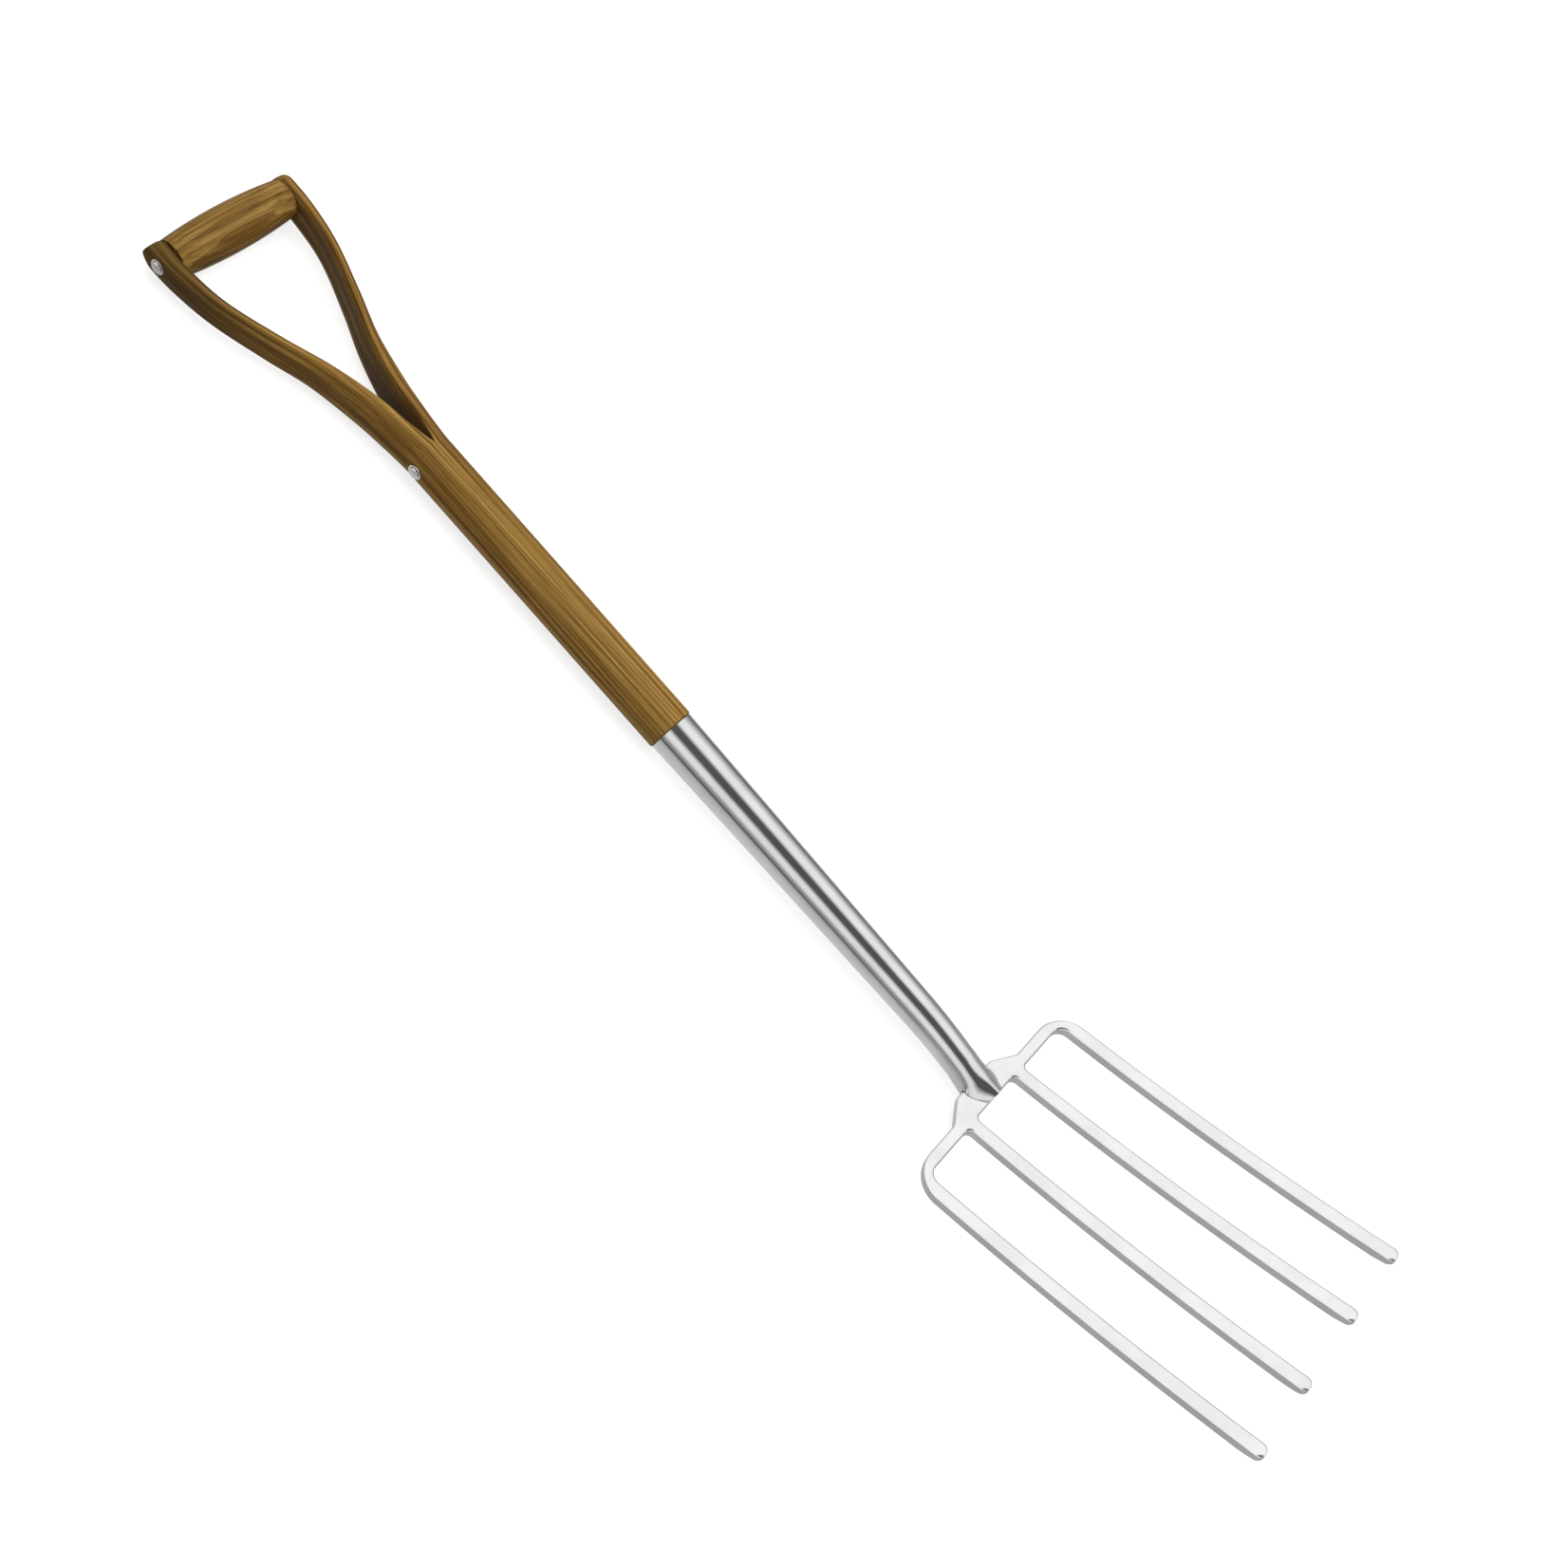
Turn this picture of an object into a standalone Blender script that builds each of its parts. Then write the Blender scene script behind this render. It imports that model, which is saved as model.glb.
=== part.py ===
"""Digging fork lying on its back: split ash shaft with a D grip, steel socket and four tine head.

Tool frame used while building: +X runs from the grip axis to the tine tips along the shaft axis,
+Y runs across the fork and +Z points out of the front (hollow) side of the tines.
"""
import math

import bmesh
import bpy
from mathutils import Matrix, Vector
from mathutils.geometry import delaunay_2d_cdt

# general
GAP = 0.0003
RING_POINTS = 32
HALF_RING = RING_POINTS // 2
SHARP_ANGLE = math.radians(32.0)
CUT_BEYOND = 0.004

# wooden shaft and its two bent arms
SHAFT_RADIUS = 0.0175
CROTCH_X = 0.2025
JOINT_X = 0.449
TENON_END_X = 0.600
ARM_ROUND = 0.62
ARM_ROUND_END_X = 0.120
ARM_EDGE_EASE = 0.0022
ARM_EASE_END_X = 0.150
ARM_EASE_POWER = 8
ARM_END_RADIUS = 0.0142
ARM_END_STATIONS = (-0.0130, -0.0121, -0.0104)
ARM_KNOTS = (
    # distance along the tool, inner face, outer crown, half height
    (-0.0080, 0.0500, 0.0615, 0.0127),
    (0.0160, 0.0500, 0.0606, 0.0127),
    (0.0480, 0.0453, 0.0546, 0.0129),
    (0.0870, 0.0311, 0.0412, 0.0134),
    (0.1200, 0.0172, 0.0287, 0.0141),
    (0.1550, 0.0071, 0.0217, 0.0155),
    (0.1800, 0.0043, 0.0188, 0.0167),
    (0.1950, 0.0022, 0.0177, 0.0173),
    (CROTCH_X, 0.0000, SHAFT_RADIUS, SHAFT_RADIUS),
)
ARM_STEPS = 4

# wooden grip bar
GRIP_X = 0.0010
GRIP_MID_RADIUS = 0.0165
GRIP_END_RADIUS = 0.0137
GRIP_HALF_LENGTH = 0.0500 - GAP
GRIP_STEPS = 8

# through rivets and washers
ROD_RADIUS = 0.0022
RIVET_HEAD_RADIUS = 0.0042
RIVET_HEAD_HEIGHT = 0.0019
RIVET_HEAD_STEPS = 4
WASHER_RADIUS = 0.0056
WASHER_THICKNESS = 0.0010
WASHER_EDGE = 0.0002
SEAT_DEPTH = 0.0012
CROTCH_RIVET_X = 0.2075
SMALL_RING = 24

# steel socket
SOCKET_TOP_RADIUS = 0.0168
SOCKET_NECK_RADIUS = 0.0123
SOCKET_WALL = 0.0015
SOCKET_TAPER_END_X = 0.745
SOCKET_BORE_END_X = 0.730
NECK_START_X = 0.700
NECK_BEND = 1.75
NOSE_KNOTS = (
    # distance along the tool, half width, top, bottom, how far the round section turns into a diamond
    (SOCKET_TAPER_END_X, 0.0123, 0.0088, -0.0158, 1.00),
    (0.7570, 0.0126, 0.0067, -0.0183, 1.00),
    (0.7620, 0.0136, 0.0062, -0.0192, 1.10),
    (0.7665, 0.0156, 0.0062, -0.0188, 1.30),
    (0.7710, 0.0152, 0.0065, -0.0170, 1.42),
    (0.7795, 0.0095, 0.0073, -0.0116, 1.30),
)
NOSE_STEPS = 2
SOCKET_LIP = 0.0004
NECK_MIDDLE_X = 0.715
TUBE_STATIONS = (0.550, 0.650, NECK_START_X, NECK_MIDDLE_X, SOCKET_BORE_END_X)
PLATE_SLOT_LENGTH = 0.060
PLATE_SLOT_WIDTH = 0.080

# socket rivet on the back
SOCKET_RIVET_X = 0.492
SOCKET_RIVET_DEPTH = 0.0110
SOCKET_RIVET_START = 0.0005

# fork head
PLATE_THICKNESS = 0.0092
HEAD_EDGE_ROUND = 0.0020
HEAD_EDGE_ANGLES = (0.0, math.radians(45.0), math.radians(90.0))
ROOT_X = 0.781
ROOT_Z = 0.0013
ROOT_ANGLE = math.radians(17.0)
TINE_LENGTH = 0.271
TIP_ANGLE = math.radians(25.9)
TINE_RADIUS = TINE_LENGTH / (TIP_ANGLE - ROOT_ANGLE)
BOSS_TOP = -0.0195
BOSS_HALF_WIDTH = 0.0195
BAR_TOP = -0.0086
BAR_TOP_START = 0.0380
WINDOW_EDGE = -0.0009
OUTER_WINDOW_EDGE = 0.0001
OUTER_ROOT = (0.0792, 0.0896)
OUTER_TIP = (0.0840, 0.0954)
INNER_ROOT = (0.0225, 0.0329)
INNER_TIP = (0.0260, 0.0374)
SHOULDER_RADIUS = 0.0240
BOSS_RADIUS = 0.0085
WINDOW_OUTER_RADIUS = 0.0090
WINDOW_INNER_RADIUS = 0.0045
TIP_RADIUS = 0.0052
TIP_THINNING = 0.0022
TIP_THINNING_LENGTH = 0.016
SIDE_STEP = 0.024
ARC_STEP = math.radians(22.0)

ASH = ("ash", (0.255, 0.140, 0.050), 0.45, 0.0)
STEEL = ("stainless_steel", (0.78, 0.78, 0.77), 0.12, 1.0)
RIVET_METAL = ("rivet_metal", (0.70, 0.69, 0.66), 0.28, 1.0)


def clear_scene():
    """Remove every object left in the file."""
    for obj in list(bpy.data.objects):
        bpy.data.objects.remove(obj, do_unlink=True)


def make_material(spec):
    """Return the plain Principled material described by a name, colour, roughness and metallic."""
    name, colour, roughness, metallic = spec
    material = bpy.data.materials.get(name) or bpy.data.materials.new(name)
    material.use_nodes = True
    shader = material.node_tree.nodes["Principled BSDF"]
    shader.inputs["Base Color"].default_value = (*colour, 1.0)
    shader.inputs["Roughness"].default_value = roughness
    shader.inputs["Metallic"].default_value = metallic
    material.diffuse_color = (*colour, 1.0)
    return material


def finish_object(name, mesh_data, spec):
    """Turn a bmesh into a smooth shaded object with outward normals and one material."""
    bmesh.ops.recalc_face_normals(mesh_data, faces=mesh_data.faces)
    mesh = bpy.data.meshes.new(name)
    mesh_data.to_mesh(mesh)
    mesh_data.free()
    mesh.materials.append(make_material(spec))
    mesh.shade_smooth()
    mesh.set_sharp_from_angle(angle=SHARP_ANGLE)
    obj = bpy.data.objects.new(name, mesh)
    bpy.context.collection.objects.link(obj)
    return obj


def add_ring(mesh_data, points):
    """Add one closed ring of vertices."""
    return [mesh_data.verts.new(point) for point in points]


def bridge(mesh_data, first, second):
    """Join two rings of equal length with quads."""
    count = len(first)
    for i in range(count):
        j = (i + 1) % count
        mesh_data.faces.new((first[i], first[j], second[j], second[i]))


def loft(rings):
    """Return a bmesh skinned over the rings with both ends closed."""
    mesh_data = bmesh.new()
    rows = [add_ring(mesh_data, ring) for ring in rings]
    for first, second in zip(rows, rows[1:]):
        bridge(mesh_data, first, second)
    mesh_data.faces.new(rows[0])
    mesh_data.faces.new(list(reversed(rows[-1])))
    return mesh_data


def revolve(profile, axis_start, axis, count):
    """Return a bmesh turned about an axis from (distance along axis, radius) pairs."""
    axis = Vector(axis).normalized()
    side = axis.orthogonal().normalized()
    across = axis.cross(side)
    rings = []
    for along, radius in profile:
        centre = Vector(axis_start) + axis * along
        ring = []
        for i in range(count):
            angle = math.tau * i / count
            ring.append(centre + (side * math.cos(angle) + across * math.sin(angle)) * radius)
        rings.append(ring)
    return loft(rings)


def cut(obj, cutter):
    """Subtract the cutter from the object with an exact boolean that stays live."""
    cutter.hide_render = True
    cutter.display_type = "WIRE"
    modifier = obj.modifiers.new("cut_" + cutter.name, "BOOLEAN")
    modifier.operation = "DIFFERENCE"
    modifier.solver = "EXACT"
    modifier.object = cutter


def hermite(knots, x):
    """Smoothly interpolate the columns of a knot table at distance x."""
    last = len(knots) - 2
    index = 0
    while index < last and x > knots[index + 1][0]:
        index += 1
    left = knots[index]
    right = knots[index + 1]
    before = knots[max(index - 1, 0)]
    after = knots[min(index + 2, len(knots) - 1)]
    span = right[0] - left[0]
    t = (x - left[0]) / span
    values = []
    for column in range(1, len(left)):
        slope_left = (right[column] - before[column]) / (right[0] - before[0]) * span
        slope_right = (after[column] - left[column]) / (after[0] - left[0]) * span
        if index == 0:
            slope_left = 0.0
        a = (2 * t ** 3 - 3 * t ** 2 + 1) * left[column]
        b = (t ** 3 - 2 * t ** 2 + t) * slope_left
        c = (-2 * t ** 3 + 3 * t ** 2) * right[column]
        d = (t ** 3 - t ** 2) * slope_right
        values.append(a + b + c + d)
    return values


def arm_section(x, side):
    """Return the outer curve and the inner face of one arm at distance x from the grip axis."""
    inner, outer, half_height = hermite(ARM_KNOTS, max(x, ARM_KNOTS[0][0]))
    if x < GRIP_X:
        half_height = min(half_height, math.sqrt(ARM_END_RADIUS ** 2 - (x - GRIP_X) ** 2))
    to_round = smooth_step((x - ARM_ROUND_END_X) / (CROTCH_X - ARM_ROUND_END_X))
    squareness = ARM_ROUND + (1.0 - ARM_ROUND) * to_round
    ease = ARM_EDGE_EASE * (1.0 - smooth_step((x - ARM_EASE_END_X) / (CROTCH_X - ARM_EASE_END_X)))
    thickness = outer - inner - ease
    curve = []
    for i in range(HALF_RING + 1):
        angle = math.pi * i / HALF_RING
        height = half_height * signed_power(math.cos(angle), squareness)
        reach = inner + ease + thickness * signed_power(math.sin(angle), squareness)
        curve.append(Vector((x, side * reach, height)))
    face = []
    for i in range(1, HALF_RING // 2):
        fraction = 1.0 - 4.0 * i / HALF_RING
        height = -half_height * fraction
        face.append(Vector((x, side * (inner + ease * fraction ** ARM_EASE_POWER), height)))
    return curve, face


def signed_power(value, power):
    """Raise the size of a value to a power and keep its sign."""
    if abs(value) < 1e-9:
        return 0.0
    return math.copysign(abs(value) ** power, value)


def smooth_step(t):
    """Ease from 0 to 1 as t runs from 0 to 1."""
    t = min(max(t, 0.0), 1.0)
    return t * t * (3.0 - 2.0 * t)


def arm_stations():
    """Return the section distances from the arm end to just before the crotch."""
    stations = list(ARM_END_STATIONS)
    for left, right in zip(ARM_KNOTS, ARM_KNOTS[1:]):
        for i in range(ARM_STEPS):
            stations.append(left[0] + (right[0] - left[0]) * i / ARM_STEPS)
    return stations


def build_shaft():
    """Build the round shaft, its reduced end inside the socket and the two arms in one body."""
    mesh_data = bmesh.new()
    shaft_profile = [
        (CROTCH_X, SHAFT_RADIUS),
        (0.5 * (CROTCH_X + JOINT_X), SHAFT_RADIUS),
        (JOINT_X, SHAFT_RADIUS),
        (JOINT_X, socket_radius(JOINT_X) - SOCKET_WALL - GAP),
        (TENON_END_X, socket_radius(TENON_END_X) - SOCKET_WALL - GAP),
    ]
    rows = []
    for x, radius in shaft_profile:
        ring = []
        for i in range(RING_POINTS):
            angle = math.tau * i / RING_POINTS
            ring.append(Vector((x, radius * math.sin(angle), radius * math.cos(angle))))
        rows.append(add_ring(mesh_data, ring))
    for first, second in zip(rows, rows[1:]):
        bridge(mesh_data, first, second)
    mesh_data.faces.new(list(reversed(rows[-1])))

    crotch = rows[0]
    _, face = arm_section(CROTCH_X, 1.0)
    crotch_line = [mesh_data.verts.new(Vector((p.x, 0.0, p.z))) for p in face]
    right_arc = crotch[:HALF_RING + 1]
    left_arc = [crotch[-i % RING_POINTS] for i in range(HALF_RING + 1)]
    for side, arc in ((1.0, right_arc), (-1.0, left_arc)):
        previous = arc + crotch_line
        for x in reversed(arm_stations()):
            curve, face = arm_section(x, side)
            ring = add_ring(mesh_data, curve + face)
            bridge(mesh_data, previous, ring)
            previous = ring
        mesh_data.faces.new(previous)
    shaft = finish_object("shaft", mesh_data, ASH)
    cut(shaft, rivet_cutter("grip_bore", GRIP_X, arm_crown(GRIP_X)))
    cut(shaft, rivet_cutter("crotch_bore", CROTCH_RIVET_X, SHAFT_RADIUS))
    cut(shaft, socket_rivet_cutter("tenon_bore"))
    return shaft


def arm_crown(x):
    """Return how far the outer crown of an arm stands from the middle plane."""
    return hermite(ARM_KNOTS, x)[1]


def rivet_cutter(name, x, reach):
    """Build a through bore with a flat seat for a washer at each end."""
    seat = reach - SEAT_DEPTH
    beyond = reach + CUT_BEYOND
    hole = ROD_RADIUS + GAP
    wide = WASHER_RADIUS + GAP
    profile = [(-beyond, wide), (-seat, wide), (-seat, hole), (seat, hole), (seat, wide), (beyond, wide)]
    mesh_data = revolve(profile, (x, 0.0, 0.0), (0.0, 1.0, 0.0), SMALL_RING)
    return finish_object(name, mesh_data, ASH)


def build_grip():
    """Build the barrel shaped grip bar with the bore for its rivet."""
    profile = []
    for i in range(GRIP_STEPS + 1):
        fraction = -1.0 + 2.0 * i / GRIP_STEPS
        radius = GRIP_MID_RADIUS - (GRIP_MID_RADIUS - GRIP_END_RADIUS) * fraction ** 2
        profile.append((fraction * GRIP_HALF_LENGTH, radius))
    mesh_data = revolve(profile, (GRIP_X, 0.0, 0.0), (0.0, 1.0, 0.0), RING_POINTS)
    grip = finish_object("grip", mesh_data, ASH)
    reach = GRIP_HALF_LENGTH + CUT_BEYOND
    bore_profile = [(-reach, ROD_RADIUS + GAP), (reach, ROD_RADIUS + GAP)]
    bore = revolve(bore_profile, (GRIP_X, 0.0, 0.0), (0.0, 1.0, 0.0), SMALL_RING)
    cut(grip, finish_object("grip_bar_bore", bore, ASH))
    return grip


def head_profile(start):
    """Return a domed rivet head that begins at the given distance along its axis."""
    profile = []
    for i in range(RIVET_HEAD_STEPS):
        angle = 0.5 * math.pi * i / RIVET_HEAD_STEPS
        radius = RIVET_HEAD_RADIUS * math.cos(angle)
        profile.append((start + RIVET_HEAD_HEIGHT * math.sin(angle), radius))
    return profile


def build_through_rivet(name, x, reach):
    """Build a rod across the fork with a domed head at each end."""
    start = reach - SEAT_DEPTH + WASHER_THICKNESS + 2.0 * GAP
    right = head_profile(start)
    left = [(-along, radius) for along, radius in reversed(right)]
    profile = left + [(-start, ROD_RADIUS), (start, ROD_RADIUS)] + right
    mesh_data = revolve(profile, (x, 0.0, 0.0), (0.0, 1.0, 0.0), SMALL_RING)
    return finish_object(name, mesh_data, RIVET_METAL)


def build_washer(name, x, reach, side):
    """Build one flat washer on its seat."""
    near = reach - SEAT_DEPTH + GAP
    far = near + WASHER_THICKNESS
    hole = ROD_RADIUS + GAP
    profile = [(near, hole), (near, WASHER_RADIUS), (far - WASHER_EDGE, WASHER_RADIUS)]
    profile += [(far, WASHER_RADIUS - WASHER_EDGE), (far, hole)]
    mesh_data = bmesh.new()
    rows = []
    for along, radius in profile:
        ring = []
        for i in range(SMALL_RING):
            angle = math.tau * i / SMALL_RING
            ring.append((x + radius * math.cos(angle), side * along, radius * math.sin(angle)))
        rows.append(add_ring(mesh_data, ring))
    for first, second in zip(rows, rows[1:] + rows[:1]):
        bridge(mesh_data, first, second)
    return finish_object(name, mesh_data, RIVET_METAL)


def socket_radius(x):
    """Return the outer radius of the tapered socket."""
    t = (x - JOINT_X) / (SOCKET_TAPER_END_X - JOINT_X)
    return SOCKET_TOP_RADIUS + (SOCKET_NECK_RADIUS - SOCKET_TOP_RADIUS) * min(t, 1.0)


def neck_height(x):
    """Return the height of the socket centre line, which cranks back before the head."""
    return -NECK_BEND * max(x - NECK_START_X, 0.0) ** 2


def oval_ring(x, half_width, top, bottom, sharpness=1.0):
    """Return an oval section between two heights, which turns into a diamond as sharpness nears 2."""
    ring = []
    middle = 0.5 * (top + bottom)
    half_height = 0.5 * (top - bottom)
    for i in range(RING_POINTS):
        angle = math.tau * i / RING_POINTS
        across = half_width * signed_power(math.sin(angle), sharpness)
        ring.append((x, across, middle + half_height * signed_power(math.cos(angle), sharpness)))
    return ring


def tube_ring(x, radius):
    """Return a round section about the cranked centre line of the socket."""
    height = neck_height(x)
    return oval_ring(x, radius, height + radius, height - radius)


def socket_outer_rings():
    """Return the outer sections of the socket from the wood down to the nose on the head."""
    start = JOINT_X + GAP
    rings = [tube_ring(start, socket_radius(start) - SOCKET_LIP)]
    rings.append(tube_ring(start + SOCKET_LIP, socket_radius(start)))
    for x in TUBE_STATIONS:
        rings.append(tube_ring(x, socket_radius(x)))
    for left, right in zip(NOSE_KNOTS, NOSE_KNOTS[1:]):
        for i in range(NOSE_STEPS):
            x = left[0] + (right[0] - left[0]) * i / NOSE_STEPS
            rings.append(oval_ring(x, *hermite(NOSE_KNOTS, x)))
    rings.append(oval_ring(*NOSE_KNOTS[-1]))
    return rings


def build_socket():
    """Build the hollow tapered socket whose nose straddles the root plate of the head."""
    mesh_data = bmesh.new()
    outer = [add_ring(mesh_data, ring) for ring in socket_outer_rings()]
    inner = []
    for x in (JOINT_X + GAP, TENON_END_X, NECK_START_X, NECK_MIDDLE_X, SOCKET_BORE_END_X):
        inner.append(add_ring(mesh_data, tube_ring(x, socket_radius(x) - SOCKET_WALL)))
    for rows in (outer, inner):
        for first, second in zip(rows, rows[1:]):
            bridge(mesh_data, first, second)
    bridge(mesh_data, outer[0], inner[0])
    mesh_data.faces.new(outer[-1])
    mesh_data.faces.new(inner[-1])
    socket = finish_object("socket", mesh_data, STEEL)
    cut(socket, plate_cutter())
    cut(socket, socket_rivet_cutter("socket_bore"))
    return socket


def plate_cutter():
    """Build the slot that clears the root plate by the joint gap."""
    mesh_data = bmesh.new()
    bmesh.ops.create_cube(mesh_data, size=1.0)
    size = Vector((PLATE_SLOT_LENGTH, PLATE_SLOT_WIDTH, PLATE_THICKNESS + 2.0 * GAP))
    bmesh.ops.scale(mesh_data, vec=size, verts=mesh_data.verts)
    along = BOSS_TOP - GAP + 0.5 * PLATE_SLOT_LENGTH
    centre = head_point(along, 0.0, 0.5 * PLATE_THICKNESS, straight=True)
    turn = Matrix.Rotation(-ROOT_ANGLE, 4, "Y")
    bmesh.ops.transform(mesh_data, matrix=Matrix.Translation(centre) @ turn, verts=mesh_data.verts)
    return finish_object("plate_slot", mesh_data, STEEL)


def socket_rivet_cutter(name):
    """Build the hole for the rivet on the back of the socket."""
    radius = socket_radius(SOCKET_RIVET_X)
    profile = [(-CUT_BEYOND, ROD_RADIUS + GAP), (SOCKET_RIVET_DEPTH + GAP, ROD_RADIUS + GAP)]
    mesh_data = revolve(profile, (SOCKET_RIVET_X, 0.0, -radius), (0.0, 0.0, 1.0), SMALL_RING)
    return finish_object(name, mesh_data, STEEL)


def build_socket_rivet():
    """Build the short rivet that pins the wood in the socket from the back."""
    radius = socket_radius(SOCKET_RIVET_X)
    profile = [(-SOCKET_RIVET_DEPTH, ROD_RADIUS), (SOCKET_RIVET_START, ROD_RADIUS)]
    profile += head_profile(SOCKET_RIVET_START)
    mesh_data = revolve(profile, (SOCKET_RIVET_X, 0.0, -radius), (0.0, 0.0, -1.0), SMALL_RING)
    return finish_object("socket_rivet", mesh_data, RIVET_METAL)


def head_point(along, across, depth, straight=False):
    """Map a point of the flat head pattern onto the curved front surface and below it."""
    if along <= 0.0 or straight:
        angle = ROOT_ANGLE
        x = ROOT_X + along * math.cos(angle)
        z = ROOT_Z + along * math.sin(angle)
    else:
        angle = ROOT_ANGLE + along / TINE_RADIUS
        x = ROOT_X + TINE_RADIUS * (math.sin(angle) - math.sin(ROOT_ANGLE))
        z = ROOT_Z + TINE_RADIUS * (math.cos(ROOT_ANGLE) - math.cos(angle))
    return Vector((x + depth * math.sin(angle), across, z - depth * math.cos(angle)))


def half_pattern():
    """Return the corners of half the flat head pattern with their rounding radii."""
    return [
        ((BOSS_TOP, 0.0), 0.0),
        ((BOSS_TOP, BOSS_HALF_WIDTH), BOSS_RADIUS),
        ((BAR_TOP, BAR_TOP_START), BOSS_RADIUS),
        ((BAR_TOP, OUTER_ROOT[1]), SHOULDER_RADIUS),
        ((TINE_LENGTH, OUTER_TIP[1]), TIP_RADIUS),
        ((TINE_LENGTH, OUTER_TIP[0]), TIP_RADIUS),
        ((OUTER_WINDOW_EDGE, OUTER_ROOT[0]), WINDOW_OUTER_RADIUS),
        ((OUTER_WINDOW_EDGE, INNER_ROOT[1]), WINDOW_INNER_RADIUS),
        ((TINE_LENGTH, INNER_TIP[1]), TIP_RADIUS),
        ((TINE_LENGTH, INNER_TIP[0]), TIP_RADIUS),
        ((WINDOW_EDGE, INNER_ROOT[0]), WINDOW_INNER_RADIUS),
        ((WINDOW_EDGE, 0.0), 0.0),
    ]


def round_corner(before, corner, after, radius):
    """Return the arc that rounds one corner of a flat pattern."""
    before, corner, after = Vector(before), Vector(corner), Vector(after)
    to_before = (before - corner).normalized()
    to_after = (after - corner).normalized()
    half = 0.5 * math.acos(max(-1.0, min(1.0, to_before.dot(to_after))))
    reach = radius / math.tan(half)
    centre = corner + (to_before + to_after).normalized() * (radius / math.sin(half))
    start = corner + to_before * reach - centre
    end = corner + to_after * reach - centre
    turn = start.angle_signed(end)
    steps = max(2, round(abs(turn) / ARC_STEP))
    points = []
    for i in range(steps + 1):
        angle = -turn * i / steps
        rotated = Vector((
            start.x * math.cos(angle) - start.y * math.sin(angle),
            start.x * math.sin(angle) + start.y * math.cos(angle),
        ))
        points.append(centre + rotated)
    return points


def subdivide(points):
    """Split the long straight sides of an outline into even steps."""
    result = []
    for first, second in zip(points, points[1:]):
        count = max(1, round((second - first).length / SIDE_STEP))
        for i in range(count):
            result.append(first.lerp(second, i / count))
    result.append(points[-1])
    return result


def head_outline():
    """Return the closed flat outline of the head, symmetric about the middle plane."""
    corners = half_pattern()
    half = [Vector(corners[0][0])]
    for before, current, after in zip(corners, corners[1:], corners[2:]):
        half += round_corner(before[0], current[0], after[0], current[1])
    half.append(Vector(corners[-1][0]))
    half = subdivide(half)
    mirrored = [Vector((p.x, -p.y)) for p in reversed(half[1:-1])]
    return half + mirrored


def outline_normals(outline):
    """Return the inward normal of every outline point."""
    normals = []
    count = len(outline)
    for i in range(count):
        along = (outline[(i + 1) % count] - outline[i - 1]).normalized()
        normals.append(Vector((along.y, -along.x)))
    return normals


def tip_depth(along, depth):
    """Thin the tine from its back towards the tip."""
    t = (along - (TINE_LENGTH - TIP_THINNING_LENGTH)) / TIP_THINNING_LENGTH
    thin = TIP_THINNING * smooth_step(t)
    return depth * (PLATE_THICKNESS - thin) / PLATE_THICKNESS


def build_head():
    """Build the head as a rounded plate cut to the flat pattern and bent along the tines."""
    outline = head_outline()
    normals = outline_normals(outline)
    layers = []
    for angle in HEAD_EDGE_ANGLES:
        inset = HEAD_EDGE_ROUND * (1.0 - math.sin(angle))
        depth = HEAD_EDGE_ROUND * (1.0 - math.cos(angle))
        layers.append((inset, depth))
    layers += [(inset, PLATE_THICKNESS - depth) for inset, depth in reversed(layers)]

    mesh_data = bmesh.new()
    rows = []
    for inset, depth in layers:
        row = []
        for point, normal in zip(outline, normals):
            flat = point + normal * inset
            row.append(mesh_data.verts.new(head_point(flat.x, flat.y, tip_depth(flat.x, depth))))
        rows.append(row)
    for first, second in zip(rows, rows[1:]):
        bridge(mesh_data, first, second)
    inner_outline = [point + normal * HEAD_EDGE_ROUND for point, normal in zip(outline, normals)]
    count = len(inner_outline)
    edges = [(i, (i + 1) % count) for i in range(count)]
    result = delaunay_2d_cdt(inner_outline, edges, [list(range(count))], 1, 1e-7)
    for triangle in result[2]:
        source = [result[3][i][0] for i in triangle]
        mesh_data.faces.new([rows[0][i] for i in source])
        mesh_data.faces.new([rows[-1][i] for i in reversed(source)])
    return finish_object("fork_head", mesh_data, STEEL)


def rest_on_back(objects):
    """Tilt the tool so that grip and neck touch the floor, then centre its box on the origin."""
    rest_x, _, _, rest_height, _ = min(NOSE_KNOTS, key=lambda knot: knot[3])
    pitch = math.asin((rest_height + GRIP_MID_RADIUS) / (rest_x - GRIP_X))
    turn = Matrix.Rotation(pitch, 4, "Y")
    corners = []
    for obj in objects:
        corners += [turn @ vertex.co for vertex in obj.data.vertices]
    centre_x = 0.5 * (min(c.x for c in corners) + max(c.x for c in corners))
    floor_z = min(c.z for c in corners)
    for obj in bpy.data.objects:
        obj.rotation_euler = (0.0, pitch, 0.0)
        obj.location = (-centre_x, 0.0, -floor_z)


def main():
    """Build every piece of the fork and set it down."""
    clear_scene()
    grip_reach = arm_crown(GRIP_X)
    pieces = [
        build_shaft(),
        build_grip(),
        build_through_rivet("grip_rivet", GRIP_X, grip_reach),
        build_washer("grip_washer_left", GRIP_X, grip_reach, -1.0),
        build_washer("grip_washer_right", GRIP_X, grip_reach, 1.0),
        build_through_rivet("crotch_rivet", CROTCH_RIVET_X, SHAFT_RADIUS),
        build_washer("crotch_washer_left", CROTCH_RIVET_X, SHAFT_RADIUS, -1.0),
        build_washer("crotch_washer_right", CROTCH_RIVET_X, SHAFT_RADIUS, 1.0),
        build_socket(),
        build_socket_rivet(),
        build_head(),
    ]
    rest_on_back(pieces)


main()
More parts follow.
